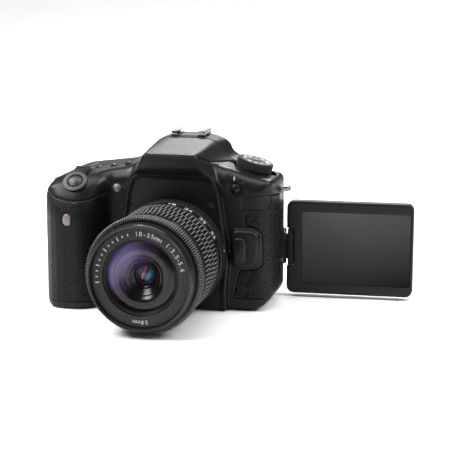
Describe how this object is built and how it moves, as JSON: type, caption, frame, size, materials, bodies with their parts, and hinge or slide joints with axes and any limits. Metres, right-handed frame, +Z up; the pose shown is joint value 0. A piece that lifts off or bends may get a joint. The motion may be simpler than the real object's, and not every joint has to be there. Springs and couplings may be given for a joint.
{
  "type": "dslr camera",
  "caption": "Single-lens reflex camera with grip, pop-up flash and zoom lens; its screen swings out on a side hinge and tilts.",
  "frame": {"origin": "mouth of the tripod socket, in the plane of the base, under the lens axis", "axes": "-Y where the lens looks, +Z up, +X to the right as seen from the front (the camera's own left)"},
  "size_m": [0.2252, 0.1322, 0.1048],
  "materials": {
    "shell": "satin, fine speckle",
    "rubber": "leather grain",
    "gloss_black": "polished",
    "button": "satin",
    "dark_metal": "satin dark",
    "steel": "brushed",
    "chrome_metal": "polished",
    "dial": "knurled",
    "lens_plastic": "satin",
    "lens_rubber": "ribbed",
    "coated_glass": "coated",
    "optical_glass": "clear",
    "display_glass": "glossy display",
    "flash_diffuser": "ribbed diffuser",
    "mirror_glass": "front silvered",
    "circuit": "circuit board",
    "battery_case": "satin"
  },
  "bodies": {
    "camera_body": {"front_shell": "shell", "rear_shell": "shell", "top_cover": "shell", "base_plate": "shell", "tripod_socket": "steel", "front_grip": "rubber", "thumb_rest": "rubber", "side_grip": "rubber", "eyecup": "rubber", "hot_shoe": "steel", "strap_lugs": "chrome_metal", "lens_mount": "steel", "mirror_box": "gloss_black", "viewfinder_optics": "optical_glass", "shutter_unit": "dark_metal", "image_sensor": "circuit", "battery": "battery_case", "lens_barrel": "lens_plastic"},
    "main_mirror": {"main_mirror": "mirror_glass"},
    "mode_dial": {"mode_dial": "dial"},
    "mode_dial_lock": {"mode_dial_lock": "button"},
    "power_switch": {"power_switch": "dial"},
    "shutter_button": {"shutter_button": "dark_metal"},
    "main_dial": {"main_dial": "dial"},
    "af_button": {"af_button": "button"},
    "drive_button": {"drive_button": "button"},
    "iso_button": {"iso_button": "button"},
    "metering_button": {"metering_button": "button"},
    "light_button": {"light_button": "button"},
    "flash_button": {"flash_button": "button"},
    "lens_release": {"lens_release": "button"},
    "preview_button": {"preview_button": "button"},
    "menu_button": {"menu_button": "button"},
    "info_button": {"info_button": "button"},
    "live_view_switch": {"live_view_switch": "dial"},
    "start_button": {"start_button": "button"},
    "af_on_button": {"af_on_button": "button"},
    "exposure_lock_button": {"exposure_lock_button": "button"},
    "af_point_button": {"af_point_button": "button"},
    "quick_button": {"quick_button": "button"},
    "playback_button": {"playback_button": "button"},
    "erase_button": {"erase_button": "button"},
    "multi_controller": {"multi_controller": "button"},
    "quick_dial": {"quick_dial": "dial"},
    "set_button": {"set_button": "button"},
    "diopter_knob": {"diopter_knob": "dial"},
    "battery_door": {"battery_door": "shell"},
    "card_door": {"card_door": "rubber"},
    "terminal_cover": {"terminal_cover": "rubber"},
    "screen_arm": {"screen_arm": "shell"},
    "zoom_ring": {"zoom_ring": "lens_rubber"},
    "focus_ring": {"focus_ring": "lens_rubber"},
    "focus_mode_switch": {"focus_mode_switch": "button"},
    "stabilizer_switch": {"stabilizer_switch": "button"},
    "flash_head": {"flash_head": "shell", "flash_lens": "flash_diffuser"},
    "screen_housing": {"screen_housing": "shell", "screen_glass": "display_glass"},
    "inner_barrel": {"inner_barrel": "lens_plastic", "front_element": "coated_glass"}
  },
  "joints": [
    {"name": "screen_swing", "type": "hinge", "parent": "camera_body", "child": "screen_arm", "pos_m": [0.0575, 0.0151, 0.0318], "axis": [0, 0, 1], "range_deg": [0, 177.6]},
    {"name": "screen_tilt", "type": "hinge", "parent": "screen_arm", "child": "screen_housing", "pos_m": [0.0575, 0.0151, 0.0318], "axis": [0.9991, 0.0419, 0], "range_deg": [-270, 0]},
    {"name": "zoom_turn", "type": "hinge", "parent": "camera_body", "child": "zoom_ring", "pos_m": [0, -0.068, 0.035], "axis": [0, -1, 0], "range_deg": [0, 60]},
    {"name": "zoom_slide", "type": "slide", "parent": "camera_body", "child": "inner_barrel", "axis": [0, -1, 0], "range_m": [0, 0.015]},
    {"name": "focus_turn", "type": "hinge", "parent": "camera_body", "child": "focus_ring", "pos_m": [0, -0.096, 0.035], "axis": [0, -1, 0], "continuous": true},
    {"name": "focus_mode_switch_slide", "type": "slide", "parent": "camera_body", "child": "focus_mode_switch", "axis": [0, 0, 1], "range_m": [-0.0032, 0]},
    {"name": "stabilizer_switch_slide", "type": "slide", "parent": "camera_body", "child": "stabilizer_switch", "axis": [0, 0, 1], "range_m": [-0.0032, 0]},
    {"name": "mode_dial_turn", "type": "hinge", "parent": "camera_body", "child": "mode_dial", "pos_m": [0.0438, -0.007, 0.083], "axis": [0.2588, 0, 0.9659], "continuous": true},
    {"name": "mode_dial_lock_press", "type": "slide", "parent": "mode_dial", "child": "mode_dial_lock", "axis": [-0.2588, 0, -0.9659], "range_m": [0, 0.001], "stiffness_N_per_m": 400},
    {"name": "power_switch_turn", "type": "hinge", "parent": "camera_body", "child": "power_switch", "pos_m": [0.0438, -0.007, 0.083], "axis": [0.2588, 0, 0.9659], "range_deg": [-40, 0]},
    {"name": "main_dial_turn", "type": "hinge", "parent": "camera_body", "child": "main_dial", "pos_m": [-0.059, -0.0285, 0.077], "axis": [1, 0, 0], "continuous": true},
    {"name": "quick_dial_turn", "type": "hinge", "parent": "camera_body", "child": "quick_dial", "pos_m": [-0.051, 0.0177, 0.034], "axis": [0, 1, 0], "continuous": true},
    {"name": "diopter_turn", "type": "hinge", "parent": "camera_body", "child": "diopter_knob", "pos_m": [0.0235, 0.0175, 0.086], "axis": [0, 1, 0], "range_deg": [-140, 140]},
    {"name": "live_view_turn", "type": "hinge", "parent": "camera_body", "child": "live_view_switch", "pos_m": [-0.033, 0.0175, 0.0745], "axis": [0, 1, 0], "range_deg": [-30, 0]},
    {"name": "shutter_button_press", "type": "slide", "parent": "camera_body", "child": "shutter_button", "axis": [0, 0.6691, -0.7431], "range_m": [0, 0.0012], "stiffness_N_per_m": 300},
    {"name": "af_button_press", "type": "slide", "parent": "camera_body", "child": "af_button", "axis": [0.1736, 0, -0.9848], "range_m": [0, 0.0008], "stiffness_N_per_m": 300},
    {"name": "drive_button_press", "type": "slide", "parent": "camera_body", "child": "drive_button", "axis": [0.1736, 0, -0.9848], "range_m": [0, 0.0008], "stiffness_N_per_m": 300},
    {"name": "iso_button_press", "type": "slide", "parent": "camera_body", "child": "iso_button", "axis": [0.1564, 0, -0.9877], "range_m": [0, 0.0008], "stiffness_N_per_m": 300},
    {"name": "metering_button_press", "type": "slide", "parent": "camera_body", "child": "metering_button", "axis": [0.1564, 0, -0.9877], "range_m": [0, 0.0008], "stiffness_N_per_m": 300},
    {"name": "light_button_press", "type": "slide", "parent": "camera_body", "child": "light_button", "axis": [0.1564, 0, -0.9877], "range_m": [0, 0.0008], "stiffness_N_per_m": 300},
    {"name": "flash_button_press", "type": "slide", "parent": "camera_body", "child": "flash_button", "axis": [0, 1, 0], "range_m": [0, 0.001], "stiffness_N_per_m": 300},
    {"name": "lens_release_press", "type": "slide", "parent": "camera_body", "child": "lens_release", "axis": [0, 1, 0], "range_m": [0, 0.0015], "stiffness_N_per_m": 500},
    {"name": "preview_button_press", "type": "slide", "parent": "camera_body", "child": "preview_button", "axis": [0, 1, 0], "range_m": [0, 0.001], "stiffness_N_per_m": 300},
    {"name": "menu_button_press", "type": "slide", "parent": "camera_body", "child": "menu_button", "axis": [0, -1, 0], "range_m": [0, 0.0008], "stiffness_N_per_m": 300},
    {"name": "info_button_press", "type": "slide", "parent": "camera_body", "child": "info_button", "axis": [0, -1, 0], "range_m": [0, 0.0008], "stiffness_N_per_m": 300},
    {"name": "start_button_press", "type": "slide", "parent": "camera_body", "child": "start_button", "axis": [0, -1, 0], "range_m": [0, 0.0008], "stiffness_N_per_m": 300},
    {"name": "af_on_button_press", "type": "slide", "parent": "camera_body", "child": "af_on_button", "axis": [0, -1, 0], "range_m": [0, 0.0008], "stiffness_N_per_m": 300},
    {"name": "exposure_lock_button_press", "type": "slide", "parent": "camera_body", "child": "exposure_lock_button", "axis": [0, -1, 0], "range_m": [0, 0.0008], "stiffness_N_per_m": 300},
    {"name": "af_point_button_press", "type": "slide", "parent": "camera_body", "child": "af_point_button", "axis": [0, -1, 0], "range_m": [0, 0.0008], "stiffness_N_per_m": 300},
    {"name": "quick_button_press", "type": "slide", "parent": "camera_body", "child": "quick_button", "axis": [0, -1, 0], "range_m": [0, 0.0008], "stiffness_N_per_m": 300},
    {"name": "playback_button_press", "type": "slide", "parent": "camera_body", "child": "playback_button", "axis": [0, -1, 0], "range_m": [0, 0.0008], "stiffness_N_per_m": 300},
    {"name": "erase_button_press", "type": "slide", "parent": "camera_body", "child": "erase_button", "axis": [0, -1, 0], "range_m": [0, 0.0008], "stiffness_N_per_m": 300},
    {"name": "set_button_press", "type": "slide", "parent": "camera_body", "child": "set_button", "axis": [0, -1, 0], "range_m": [0, 0.0008], "stiffness_N_per_m": 300},
    {"name": "multi_controller_tilt", "type": "hinge", "parent": "camera_body", "child": "multi_controller", "pos_m": [-0.0445, 0.0135, 0.0605], "axis": [1, 0, 0], "range_deg": [-8, 8], "stiffness_Nm_per_rad": 0.02},
    {"name": "flash_lift", "type": "hinge", "parent": "camera_body", "child": "flash_head", "pos_m": [0, -0.0024, 0.0994], "axis": [-1, 0, 0], "range_deg": [0, 60]},
    {"name": "mirror_lift", "type": "hinge", "parent": "camera_body", "child": "main_mirror", "pos_m": [0, -0.004, 0.046], "axis": [-1, 0, 0], "range_deg": [0, 45], "stiffness_Nm_per_rad": 0.002},
    {"name": "battery_door_swing", "type": "hinge", "parent": "camera_body", "child": "battery_door", "pos_m": [-0.0539, -0.0265, 0.0012], "axis": [0, -1, 0], "range_deg": [0, 90]},
    {"name": "card_door_swing", "type": "hinge", "parent": "camera_body", "child": "card_door", "pos_m": [-0.07785, -0.00355, 0.036], "axis": [0, 0, 1], "range_deg": [0, 85]},
    {"name": "terminal_cover_swing", "type": "hinge", "parent": "camera_body", "child": "terminal_cover", "pos_m": [0.0603, -0.0237, 0.037], "axis": [0, 0, -1], "range_deg": [0, 90]}
  ],
  "couplings": [
    {"joint": "zoom_slide", "follows": "zoom_turn", "m_per_rad": 0.014324}
  ]
}
